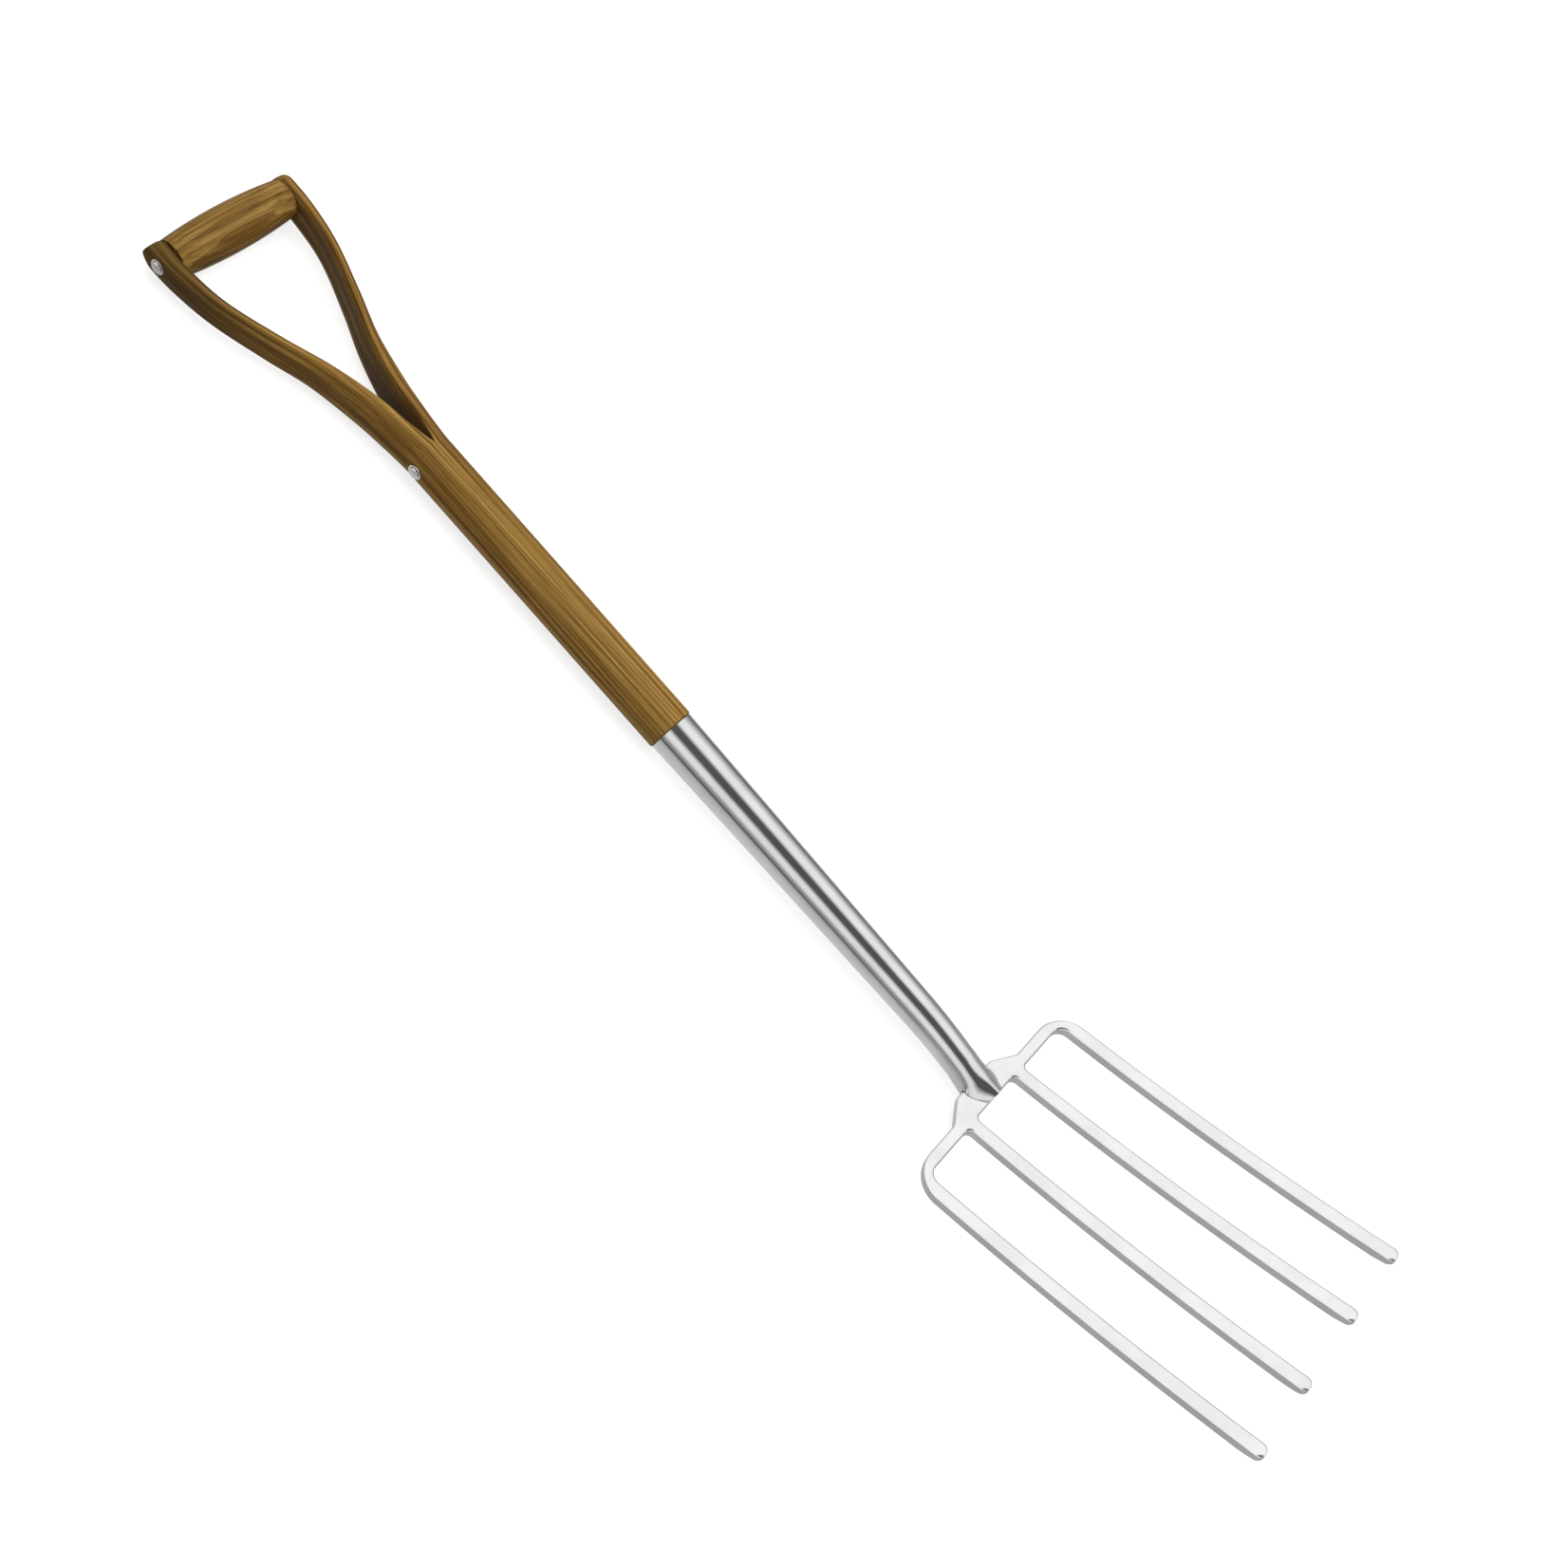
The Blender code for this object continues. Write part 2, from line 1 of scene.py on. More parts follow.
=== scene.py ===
"""Digging fork lying on its back: varnished ash shaft with a D grip, polished steel socket and head.

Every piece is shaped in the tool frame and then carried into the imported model's frame. In the tool
frame +X runs from the grip axis to the tine tips, +Y across the fork and +Z out of its front side.
"""
import math

import bmesh
import bpy
from mathutils import Matrix, Vector
from mathutils.geometry import delaunay_2d_cdt


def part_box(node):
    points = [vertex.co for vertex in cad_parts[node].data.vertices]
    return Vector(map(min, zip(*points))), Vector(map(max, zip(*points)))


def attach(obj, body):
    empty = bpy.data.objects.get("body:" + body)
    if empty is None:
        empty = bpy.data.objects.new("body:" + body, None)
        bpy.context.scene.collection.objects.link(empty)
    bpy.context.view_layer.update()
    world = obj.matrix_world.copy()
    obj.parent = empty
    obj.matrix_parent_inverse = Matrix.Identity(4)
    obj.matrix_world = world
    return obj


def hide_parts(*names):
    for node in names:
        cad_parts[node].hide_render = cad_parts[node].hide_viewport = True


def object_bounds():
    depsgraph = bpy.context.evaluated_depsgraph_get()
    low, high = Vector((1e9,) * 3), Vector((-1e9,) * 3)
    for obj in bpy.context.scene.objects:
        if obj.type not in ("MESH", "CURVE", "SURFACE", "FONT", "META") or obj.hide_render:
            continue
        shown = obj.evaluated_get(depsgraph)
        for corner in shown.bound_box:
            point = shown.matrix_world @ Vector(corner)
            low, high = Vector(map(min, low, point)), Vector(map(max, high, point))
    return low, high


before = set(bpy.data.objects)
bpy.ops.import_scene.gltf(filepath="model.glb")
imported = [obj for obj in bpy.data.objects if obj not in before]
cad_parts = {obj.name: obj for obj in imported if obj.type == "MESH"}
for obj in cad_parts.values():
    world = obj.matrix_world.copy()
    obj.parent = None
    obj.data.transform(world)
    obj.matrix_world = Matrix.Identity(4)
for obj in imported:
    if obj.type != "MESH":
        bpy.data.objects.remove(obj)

CAD_LOW, CAD_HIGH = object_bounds()
GAP = 0.0003
CUT_BEYOND = 0.004
SHARP_ANGLE = math.radians(38.0)

# wooden shaft and its two bent arms, metres along the tool axis
SHAFT_RADIUS = 0.0175
CROTCH_X = 0.2025
JOINT_X = 0.449
TENON_END_X = 0.600
SHAFT_STEPS = 80
SHAFT_END_ROUND = 0.0008
SHAFT_END_STEPS = 4
ARM_ROUND = 0.62
ARM_ROUND_END_X = 0.120
ARM_EDGE_EASE = 0.0022
ARM_EASE_END_X = 0.150
ARM_EASE_POWER = 8
ARM_END_RADIUS = 0.0142
ARM_END_X = -0.0130
ARM_END_CHAMFER = 0.0006
ARM_KNOTS = (
    # distance along the tool, inner face, outer crown, half height
    (-0.0080, 0.0500, 0.0615, 0.0127),
    (0.0160, 0.0500, 0.0606, 0.0127),
    (0.0480, 0.0453, 0.0546, 0.0129),
    (0.0870, 0.0311, 0.0412, 0.0134),
    (0.1200, 0.0172, 0.0287, 0.0141),
    (0.1550, 0.0071, 0.0217, 0.0155),
    (0.1800, 0.0043, 0.0188, 0.0167),
    (0.1950, 0.0022, 0.0177, 0.0173),
    (CROTCH_X, 0.0000, SHAFT_RADIUS, SHAFT_RADIUS),
)
ARM_STEPS = 14

# how much darker the end of the left arm is drawn, how much painted shade the inner faces of both arms get,
# and where
LEFT_ARM_DARKER = 0.54
LEFT_ARM_DARK_X = 0.105
LEFT_ARM_FADE = 0.080
# painted shade on the inner faces of both arms, where they face each other across the slot
INNER_FACE_PAINTED_SHADE = 0.34
INNER_FACE_DEPTH = 0.004
INNER_FACE_FADE = 0.020

# points round a wooden section
WOOD_RING = 96
HALF_RING = WOOD_RING // 2

# wooden grip bar
GRIP_X = 0.0010
GRIP_MID_RADIUS = 0.0165
GRIP_END_RADIUS = 0.0137
GRIP_HALF_LENGTH = 0.0500 - GAP
GRIP_STEPS = 40
GRIP_SHADE = 0.84
GRIP_GRAIN_SHIFT = (0.9, 0.011)

# rivets and washers
ROD_RADIUS = 0.0022
RIVET_HEAD_RADIUS = 0.0042
RIVET_HEAD_HEIGHT = 0.0019
RIVET_HEAD_STEPS = 10
WASHER_RADIUS = 0.0056
WASHER_THICKNESS = 0.0010
WASHER_EDGE = 0.0002
SEAT_DEPTH = 0.0012
CROTCH_RIVET_X = 0.2075
SMALL_RING = 64

# steel socket
SOCKET_TOP_RADIUS = 0.0168
SOCKET_NECK_RADIUS = 0.0123
SOCKET_WALL = 0.0015
SOCKET_TAPER_END_X = 0.745
SOCKET_BORE_END_X = 0.730
NECK_START_X = 0.700
NECK_BEND = 1.75
NOSE_KNOTS = (
    # distance along the tool, half width, top, bottom, how far the round section turns into a diamond
    (SOCKET_TAPER_END_X, 0.0123, 0.0088, -0.0158, 1.00),
    (0.7570, 0.0126, 0.0067, -0.0183, 1.00),
    (0.7620, 0.0136, 0.0062, -0.0192, 1.10),
    (0.7665, 0.0156, 0.0062, -0.0188, 1.30),
    (0.7710, 0.0152, 0.0065, -0.0170, 1.42),
    (0.7795, 0.0095, 0.0073, -0.0116, 1.30),
)
SOCKET_RING = 128
SOCKET_LIP = 0.0004
SOCKET_LIP_SHARES = (0.0, 0.3, 1.0)
TUBE_STEPS = 60
BORE_STEPS = 12
NOSE_STEPS = 8
SOCKET_RIVET_X = 0.492
SOCKET_RIVET_DEPTH = 0.0110
SOCKET_RIVET_START = 0.0005
PLATE_SLOT_LENGTH = 0.060
PLATE_SLOT_WIDTH = 0.080

# fork head, a rounded plate cut to a flat pattern and bent along the tines
PLATE_THICKNESS = 0.0092
HEAD_EDGE_ROUND = 0.0020
HEAD_EDGE_INSET = 0.0022
HEAD_EDGE_STEPS = 7
ROOT_X = 0.781
ROOT_Z = 0.0013
ROOT_ANGLE = math.radians(17.0)
TINE_LENGTH = 0.271
TIP_TRIM = 0.0002
TINE_END = TINE_LENGTH - TIP_TRIM
TIP_ANGLE = math.radians(25.9)
TINE_RADIUS = TINE_LENGTH / (TIP_ANGLE - ROOT_ANGLE)
BOSS_TOP = -0.0195
BOSS_HALF_WIDTH = 0.0195
BAR_TOP = -0.0086
BAR_TOP_START = 0.0380
WINDOW_EDGE = -0.0009
OUTER_WINDOW_EDGE = 0.0001
OUTER_ROOT = (0.0792, 0.0896)
OUTER_TIP = (0.0840, 0.0954)
INNER_ROOT = (0.0225, 0.0329)
INNER_TIP = (0.0260, 0.0374)
SHOULDER_RADIUS = 0.0240
BOSS_RADIUS = 0.0085
WINDOW_OUTER_RADIUS = 0.0090
WINDOW_INNER_RADIUS = 0.0045
TIP_RADIUS = 0.0052
TIP_THINNING = 0.0022
TIP_THINNING_LENGTH = 0.016
SIDE_STEP = 0.003
ARC_STEP = math.radians(6.0)
FEWEST_ARC_STEPS = 4
MERGE_DISTANCE = 1e-7

# camera, in the tool frame
CAMERA_LENS = 50.0
CAMERA_ELEVATION = math.radians(55.63)
CAMERA_TURN = math.radians(1.90)
CAMERA_ROLL = math.radians(50.11)
CAMERA_DISTANCE = 1.493
CAMERA_AIM = Vector((0.5276, 0.0400, 0.0))
SENSOR_WIDTH = 36.0

# floor and studio
FLOOR_REACH = 30.0
FLOOR_COLOUR = (0.45, 0.45, 0.45, 1.0)
FLOOR_BOUNCE = (0.40, 0.40, 0.40, 1.0)
FLOOR_GLOW = 0.75
# how bright polished metal mirrors the floor: beside the socket, far off to its sides and below the head
FLOOR_MIRRORED = 0.66
FLOOR_MIRRORED_HEAD = 0.40
FLOOR_MIRRORED_FAR = 0.10
FLOOR_FADE = (0.02, 0.22)
HEAD_START = (0.22, 0.30)
BACKDROP_COLOUR = (1.0, 1.0, 1.0, 1.0)
AMBIENT = 0.52
SUN_STRENGTH = 2.3
SUN_SPREAD = math.radians(75.0)
SUN_TILT = math.radians(22.0)
# Studio as polished metal mirrors it: plain panels as long as the tool, in the order right wall, right soft
# box, dark panel, left soft box and left wall. Each entry holds where a panel starts and ends, from the right
# horizon (0) over the zenith (0.5) to the left horizon (1), and its brightness. Gaps blend into the next one.
PANELS = (
    (0.00, 0.05, 0.3),
    (0.25, 0.40, 1.0),
    (0.50, 0.65, 0.1),
    (0.75, 0.85, 0.9),
    (0.95, 1.00, 0.3),
)
# an even bright ceiling over the handle end, which the head mirrors, and where it gives way to the panels
CEILING_COLOUR = (1.0, 1.0, 1.0, 1.0)
CEILING_EDGE = (-0.3, -0.1)


# ---------------------------------------------------------------- mesh helpers

def tool_frame():
    """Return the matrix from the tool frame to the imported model's frame."""
    def middle(node):
        low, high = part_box(node)
        return 0.5 * (Vector(low) + Vector(high))
    along = (middle("crotch_rivet") - middle("grip_rivet")).normalized()
    across = Vector((0.0, 1.0, 0.0))
    front = along.cross(across).normalized()
    turn = Matrix((along, across, front)).transposed().to_4x4()
    return Matrix.Translation(middle("grip") - along * GRIP_X) @ turn


def add_ring(mesh_data, points):
    """Add one closed ring of vertices."""
    return [mesh_data.verts.new(point) for point in points]


def bridge(mesh_data, first, second):
    """Join two rings of equal length with quads."""
    count = len(first)
    for i in range(count):
        j = (i + 1) % count
        mesh_data.faces.new((first[i], first[j], second[j], second[i]))


def loft(rings):
    """Return a bmesh skinned over the rings with both ends closed."""
    mesh_data = bmesh.new()
    rows = [add_ring(mesh_data, ring) for ring in rings]
    for first, second in zip(rows, rows[1:]):
        bridge(mesh_data, first, second)
    mesh_data.faces.new(rows[0])
    mesh_data.faces.new(list(reversed(rows[-1])))
    return mesh_data


def turned_ring(axis_start, axis, along, radius, count):
    """Return one ring of points about an axis."""
    axis = Vector(axis).normalized()
    side = axis.orthogonal().normalized()
    across = axis.cross(side)
    centre = Vector(axis_start) + axis * along
    ring = []
    for i in range(count):
        angle = math.tau * i / count
        ring.append(centre + (side * math.cos(angle) + across * math.sin(angle)) * radius)
    return ring


def revolve(profile, axis_start, axis, count=SMALL_RING):
    """Return a bmesh turned about an axis from (distance along axis, radius) pairs."""
    return loft([turned_ring(axis_start, axis, along, radius, count) for along, radius in profile])


def oval_ring(x, half_width, top, bottom, sharpness=1.0):
    """Return an oval section between two heights, which turns into a diamond as sharpness nears 2."""
    ring = []
    middle = 0.5 * (top + bottom)
    half_height = 0.5 * (top - bottom)
    for i in range(SOCKET_RING):
        angle = math.tau * i / SOCKET_RING
        across = half_width * signed_power(math.sin(angle), sharpness)
        ring.append((x, across, middle + half_height * signed_power(math.cos(angle), sharpness)))
    return ring


def tube_ring(x, radius):
    """Return a round section about the cranked centre line of the socket."""
    height = neck_height(x)
    return oval_ring(x, radius, height + radius, height - radius)


def to_object(name, mesh_data):
    """Turn a bmesh into an object with outward normals."""
    bmesh.ops.recalc_face_normals(mesh_data, faces=mesh_data.faces)
    mesh = bpy.data.meshes.new(name)
    mesh_data.to_mesh(mesh)
    mesh_data.free()
    obj = bpy.data.objects.new(name, mesh)
    bpy.context.collection.objects.link(obj)
    return obj


def cut_away(obj, cutters):
    """Subtract the cutters from the object and keep only the result."""
    for cutter in cutters:
        modifier = obj.modifiers.new(cutter.name, "BOOLEAN")
        modifier.operation = "DIFFERENCE"
        modifier.solver = "EXACT"
        modifier.object = cutter
    depsgraph = bpy.context.evaluated_depsgraph_get()
    result = bpy.data.meshes.new_from_object(obj.evaluated_get(depsgraph))
    obj.modifiers.clear()
    obj.data = result
    for cutter in cutters:
        bpy.data.objects.remove(cutter, do_unlink=True)


def set_grain(obj, rule, shade=lambda point: 1.0):
    """Store on every vertex its wood coordinate and a darkening factor for the wood, which on the arms
    includes painted shade.
    """
    mesh = obj.data
    places = []
    tones = []
    for vertex in mesh.vertices:
        places.extend(rule(vertex.co))
        tones.append(shade(vertex.co))
    mesh.attributes.new("grain", "FLOAT_VECTOR", "POINT").data.foreach_set("vector", places)
    mesh.attributes.new("shade", "FLOAT", "POINT").data.foreach_set("value", tones)


def place(obj, node, material):
    """Shade a finished piece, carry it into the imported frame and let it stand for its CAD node."""
    mesh = obj.data
    mesh.materials.clear()
    mesh.materials.append(material)
    mesh.shade_smooth()
    mesh.set_sharp_from_angle(angle=SHARP_ANGLE)
    mesh.transform(TOOL)
    mesh.update()
    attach(obj, "root")
    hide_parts(node)


def smooth_step(t):
    """Ease from 0 to 1 as t runs from 0 to 1."""
    t = min(max(t, 0.0), 1.0)
    return t * t * (3.0 - 2.0 * t)


def signed_power(value, power):
    """Raise the size of a value to a power and keep its sign."""
    if abs(value) < 1e-9:
        return 0.0
    return math.copysign(abs(value) ** power, value)


# ---------------------------------------------------------------- wooden pieces

def hermite(knots, x):
    """Smoothly interpolate the columns of a knot table at distance x."""
    last = len(knots) - 2
    index = 0
    while index < last and x > knots[index + 1][0]:
        index += 1
    left = knots[index]
    right = knots[index + 1]
    before = knots[max(index - 1, 0)]
    after = knots[min(index + 2, len(knots) - 1)]
    span = right[0] - left[0]
    t = (x - left[0]) / span
    values = []
    for column in range(1, len(left)):
        slope_left = (right[column] - before[column]) / (right[0] - before[0]) * span
        slope_right = (after[column] - left[column]) / (after[0] - left[0]) * span
        if index == 0:
            slope_left = 0.0
        a = (2 * t ** 3 - 3 * t ** 2 + 1) * left[column]
        b = (t ** 3 - 2 * t ** 2 + t) * slope_left
        c = (-2 * t ** 3 + 3 * t ** 2) * right[column]
        d = (t ** 3 - t ** 2) * slope_right
        values.append(a + b + c + d)
    return values


def arm_section(x, side):
    """Return the outer curve and the inner face of one arm at distance x from the grip axis."""
    inner, outer, half_height = hermite(ARM_KNOTS, max(x, ARM_KNOTS[0][0]))
    if x < GRIP_X:
        half_height = min(half_height, math.sqrt(ARM_END_RADIUS ** 2 - (x - GRIP_X) ** 2))
    to_round = smooth_step((x - ARM_ROUND_END_X) / (CROTCH_X - ARM_ROUND_END_X))
    squareness = ARM_ROUND + (1.0 - ARM_ROUND) * to_round
    ease = ARM_EDGE_EASE * (1.0 - smooth_step((x - ARM_EASE_END_X) / (CROTCH_X - ARM_EASE_END_X)))
    thickness = outer - inner - ease
    curve = []
    for i in range(HALF_RING + 1):
        angle = math.pi * i / HALF_RING
        height = half_height * signed_power(math.cos(angle), squareness)
        reach = inner + ease + thickness * signed_power(math.sin(angle), squareness)
        curve.append(Vector((x, side * reach, height)))
    face = []
    for i in range(1, HALF_RING // 2):
        fraction = 1.0 - 4.0 * i / HALF_RING
        reach = inner + ease * fraction ** ARM_EASE_POWER
        face.append(Vector((x, side * reach, -half_height * fraction)))
    return curve, face


def arm_stations():
    """Return the section distances from the rounded arm end to just before the crotch."""
    stations = []
    end_angle = math.asin((ARM_END_X - GRIP_X) / ARM_END_RADIUS)
    start_angle = math.asin((ARM_KNOTS[0][0] - GRIP_X) / ARM_END_RADIUS)
    for i in range(ARM_STEPS):
        angle = end_angle + (start_angle - end_angle) * i / ARM_STEPS
        stations.append(GRIP_X + ARM_END_RADIUS * math.sin(angle))
    for left, right in zip(ARM_KNOTS, ARM_KNOTS[1:]):
        for i in range(ARM_STEPS):
            stations.append(left[0] + (right[0] - left[0]) * i / ARM_STEPS)
    return stations


def shaft_profile():
    """Return distance and radius pairs from the crotch over the rounded shoulder to the tenon end."""
    profile = []
    for i in range(SHAFT_STEPS + 1):
        profile.append((CROTCH_X + (JOINT_X - SHAFT_END_ROUND - CROTCH_X) * i / SHAFT_STEPS, SHAFT_RADIUS))
    for i in range(1, SHAFT_END_STEPS + 1):
        angle = 0.5 * math.pi * i / SHAFT_END_STEPS
        x = JOINT_X - SHAFT_END_ROUND * (1.0 - math.sin(angle))
        profile.append((x, SHAFT_RADIUS - SHAFT_END_ROUND * (1.0 - math.cos(angle))))
    for x in (JOINT_X, TENON_END_X):
        profile.append((x + GAP, socket_radius(x) - SOCKET_WALL - GAP))
    return profile


def rivet_cutter(name, x, reach):
    """Build a through bore with a flat seat for a washer at each end."""
    seat = reach - SEAT_DEPTH
    beyond = reach + CUT_BEYOND
    hole = ROD_RADIUS + GAP
    wide = WASHER_RADIUS + GAP
    profile = [(-beyond, wide), (-seat, wide), (-seat, hole), (seat, hole), (seat, wide), (beyond, wide)]
    return to_object(name, revolve(profile, (x, 0.0, 0.0), (0.0, 1.0, 0.0)))


def arm_crown(x):
    """Return how far the outer crown of an arm stands from the middle plane."""
    return hermite(ARM_KNOTS, x)[1]


def shaft_grain(point):
    """Return distance along the grain, across it and height, with the bent arms laid straight."""
    if point.x >= CROTCH_X:
        return (point.x, point.y, point.z)
    side = 1.0 if point.y >= 0.0 else -1.0
    inner, outer, _ = hermite(ARM_KNOTS, max(point.x, ARM_KNOTS[0][0]))
    start = 0.5 * SHAFT_RADIUS
    return (point.x, point.y - side * (0.5 * (inner + outer) - start), point.z)


def arm_darkening_and_painted_shade(point):
    """Return how dark the wood is drawn: painted shade on the inner faces of both arms, and the left arm
    darker towards its end.
    """
    if point.x >= CROTCH_X:
        return 1.0
    inner = hermite(ARM_KNOTS, max(point.x, ARM_KNOTS[0][0]))[0]
    inside = 1.0 - smooth_step((abs(point.y) - inner) / INNER_FACE_DEPTH)
    to_crotch = smooth_step((CROTCH_X - point.x) / INNER_FACE_FADE)
    # painted shade on the inner faces between the arms, fading out at the crotch
    shade = 1.0 - INNER_FACE_PAINTED_SHADE * inside * to_crotch
    if point.y < 0.0:
        shade *= 1.0 - LEFT_ARM_DARKER * smooth_step((LEFT_ARM_DARK_X - point.x) / LEFT_ARM_FADE)
    return shade


def build_shaft():
    """Build the round shaft, its tenon and the two bent arms in one body."""
    mesh_data = bmesh.new()
    rows = []
    for x, radius in shaft_profile():
        ring = []
        for i in range(WOOD_RING):
            angle = math.tau * i / WOOD_RING
            ring.append(Vector((x, radius * math.sin(angle), radius * math.cos(angle))))
        rows.append(add_ring(mesh_data, ring))
    for first, second in zip(rows, rows[1:]):
        bridge(mesh_data, first, second)
    mesh_data.faces.new(list(reversed(rows[-1])))

    crotch = rows[0]
    _, face = arm_section(CROTCH_X, 1.0)
    crotch_line = [mesh_data.verts.new(Vector((p.x, 0.0, p.z))) for p in face]
    right_arc = crotch[:HALF_RING + 1]
    left_arc = [crotch[-i % WOOD_RING] for i in range(HALF_RING + 1)]
    for side, arc in ((1.0, right_arc), (-1.0, left_arc)):
        previous = arc + crotch_line
        for x in reversed(arm_stations()):
            curve, face = arm_section(x, side)
            points = curve + face
            if x == arm_stations()[0]:
                middle = sum(points, Vector()) / len(points)
                points = [p + (middle - p).normalized() * ARM_END_CHAMFER for p in points]
            ring = add_ring(mesh_data, points)
            bridge(mesh_data, previous, ring)
            previous = ring
        mesh_data.faces.new(previous)
    shaft = to_object("ash_shaft", mesh_data)
    cutters = [
        rivet_cutter("grip_bore", GRIP_X, arm_crown(GRIP_X)),
        rivet_cutter("crotch_bore", CROTCH_RIVET_X, SHAFT_RADIUS),
        socket_rivet_cutter("tenon_bore"),
    ]
    cut_away(shaft, cutters)
    set_grain(shaft, shaft_grain, arm_darkening_and_painted_shade)
    place(shaft, "shaft", WOOD)


def grip_grain(point):
    """Return distance along the grain, which runs along the bar, across it and height."""
    return (point.y + GRIP_GRAIN_SHIFT[0], point.x + GRIP_GRAIN_SHIFT[1], point.z)


def build_grip():
    """Build the barrel shaped grip bar with the bore for its rivet."""
    profile = []
    for i in range(GRIP_STEPS + 1):
        fraction = -1.0 + 2.0 * i / GRIP_STEPS
        radius = GRIP_MID_RADIUS - (GRIP_MID_RADIUS - GRIP_END_RADIUS) * fraction ** 2
        profile.append((fraction * GRIP_HALF_LENGTH, radius))
    grip = to_object("ash_grip", revolve(profile, (GRIP_X, 0.0, 0.0), (0.0, 1.0, 0.0), WOOD_RING))
    reach = GRIP_HALF_LENGTH + CUT_BEYOND
    bore_profile = [(-reach, ROD_RADIUS + GAP), (reach, ROD_RADIUS + GAP)]
    bore = to_object("grip_bar_bore", revolve(bore_profile, (GRIP_X, 0.0, 0.0), (0.0, 1.0, 0.0)))
    cut_away(grip, [bore])
    set_grain(grip, grip_grain, lambda point: GRIP_SHADE)
    place(grip, "grip", WOOD)


# ---------------------------------------------------------------- rivets and washers

def head_profile(start):
    """Return a domed rivet head that begins at the given distance along its axis."""
    profile = []
    for i in range(RIVET_HEAD_STEPS):
        angle = 0.5 * math.pi * i / RIVET_HEAD_STEPS
        radius = RIVET_HEAD_RADIUS * math.cos(angle)
        profile.append((start + RIVET_HEAD_HEIGHT * math.sin(angle), radius))
    return profile


def build_through_rivet(node, x, reach):
    """Build a rod across the fork with a domed head at each end."""
    start = reach - SEAT_DEPTH + WASHER_THICKNESS + 2.0 * GAP
    right = head_profile(start)
    left = [(-along, radius) for along, radius in reversed(right)]
    profile = left + [(-start, ROD_RADIUS), (start, ROD_RADIUS)] + right
    rivet = to_object(node + "_rod", revolve(profile, (x, 0.0, 0.0), (0.0, 1.0, 0.0)))
    place(rivet, node, RIVET_METAL)


def build_washer(node, x, reach, side):
    """Build one washer with rounded edges on its seat."""
    near = reach - SEAT_DEPTH + GAP
    far = near + WASHER_THICKNESS
    hole = ROD_RADIUS + GAP
    rim = WASHER_RADIUS - WASHER_EDGE
    profile = [(near, hole), (near, rim), (near + WASHER_EDGE, WASHER_RADIUS)]
    profile += [(far - WASHER_EDGE, WASHER_RADIUS), (far, rim), (far, hole)]
    mesh_data = bmesh.new()
    rows = []
    for along, radius in profile:
        ring = turned_ring((x, 0.0, 0.0), (0.0, 1.0, 0.0), side * along, radius, SMALL_RING)
        rows.append(add_ring(mesh_data, ring))
    for first, second in zip(rows, rows[1:] + rows[:1]):
        bridge(mesh_data, first, second)
    place(to_object(node + "_ring", mesh_data), node, RIVET_METAL)


def build_socket_rivet():
    """Build the short rivet that pins the wood in the socket from the back."""
    start = (SOCKET_RIVET_X, 0.0, -socket_radius(SOCKET_RIVET_X))
    profile = [(-SOCKET_RIVET_DEPTH, ROD_RADIUS), (SOCKET_RIVET_START, ROD_RADIUS)]
    profile += head_profile(SOCKET_RIVET_START)
    rivet = to_object("socket_pin", revolve(profile, start, (0.0, 0.0, -1.0)))
    place(rivet, "socket_rivet", RIVET_METAL)


# ---------------------------------------------------------------- socket

def socket_radius(x):
    """Return the outer radius of the tapered socket."""
    t = (x - JOINT_X) / (SOCKET_TAPER_END_X - JOINT_X)
    return SOCKET_TOP_RADIUS + (SOCKET_NECK_RADIUS - SOCKET_TOP_RADIUS) * min(t, 1.0)


def neck_height(x):
    """Return the height of the socket centre line, which cranks back before the head."""
    return -NECK_BEND * max(x - NECK_START_X, 0.0) ** 2


def socket_outer_rings():
    """Return the outer sections of the socket from the wood down to the nose on the head."""
    start = JOINT_X + GAP
    rings = []
    for share in SOCKET_LIP_SHARES:
        radius = socket_radius(start) - (1.0 - share) * SOCKET_LIP
        rings.append(tube_ring(start + share * SOCKET_LIP, radius))
    for i in range(1, TUBE_STEPS):
        x = start + (SOCKET_TAPER_END_X - start) * i / TUBE_STEPS
        rings.append(tube_ring(x, socket_radius(x)))
    for left, right in zip(NOSE_KNOTS, NOSE_KNOTS[1:]):
        for i in range(NOSE_STEPS):
            x = left[0] + (right[0] - left[0]) * i / NOSE_STEPS
            rings.append(oval_ring(x, *hermite(NOSE_KNOTS, x)))
    rings.append(oval_ring(*NOSE_KNOTS[-1]))
    return rings


def build_socket():
    """Build the hollow tapered socket whose nose straddles the root plate of the head."""
    mesh_data = bmesh.new()
    outer = [add_ring(mesh_data, ring) for ring in socket_outer_rings()]
    inner = []
    for i in range(BORE_STEPS + 1):
        x = JOINT_X + GAP + (SOCKET_BORE_END_X - JOINT_X - GAP) * i / BORE_STEPS
        inner.append(add_ring(mesh_data, tube_ring(x, socket_radius(x) - SOCKET_WALL)))
    for rows in (outer, inner):
        for first, second in zip(rows, rows[1:]):
            bridge(mesh_data, first, second)
    bridge(mesh_data, outer[0], inner[0])
    mesh_data.faces.new(outer[-1])
    mesh_data.faces.new(inner[-1])
    socket = to_object("polished_socket", mesh_data)
    cut_away(socket, [plate_cutter(), socket_rivet_cutter("socket_bore")])
    place(socket, "socket", SOCKET_STEEL)


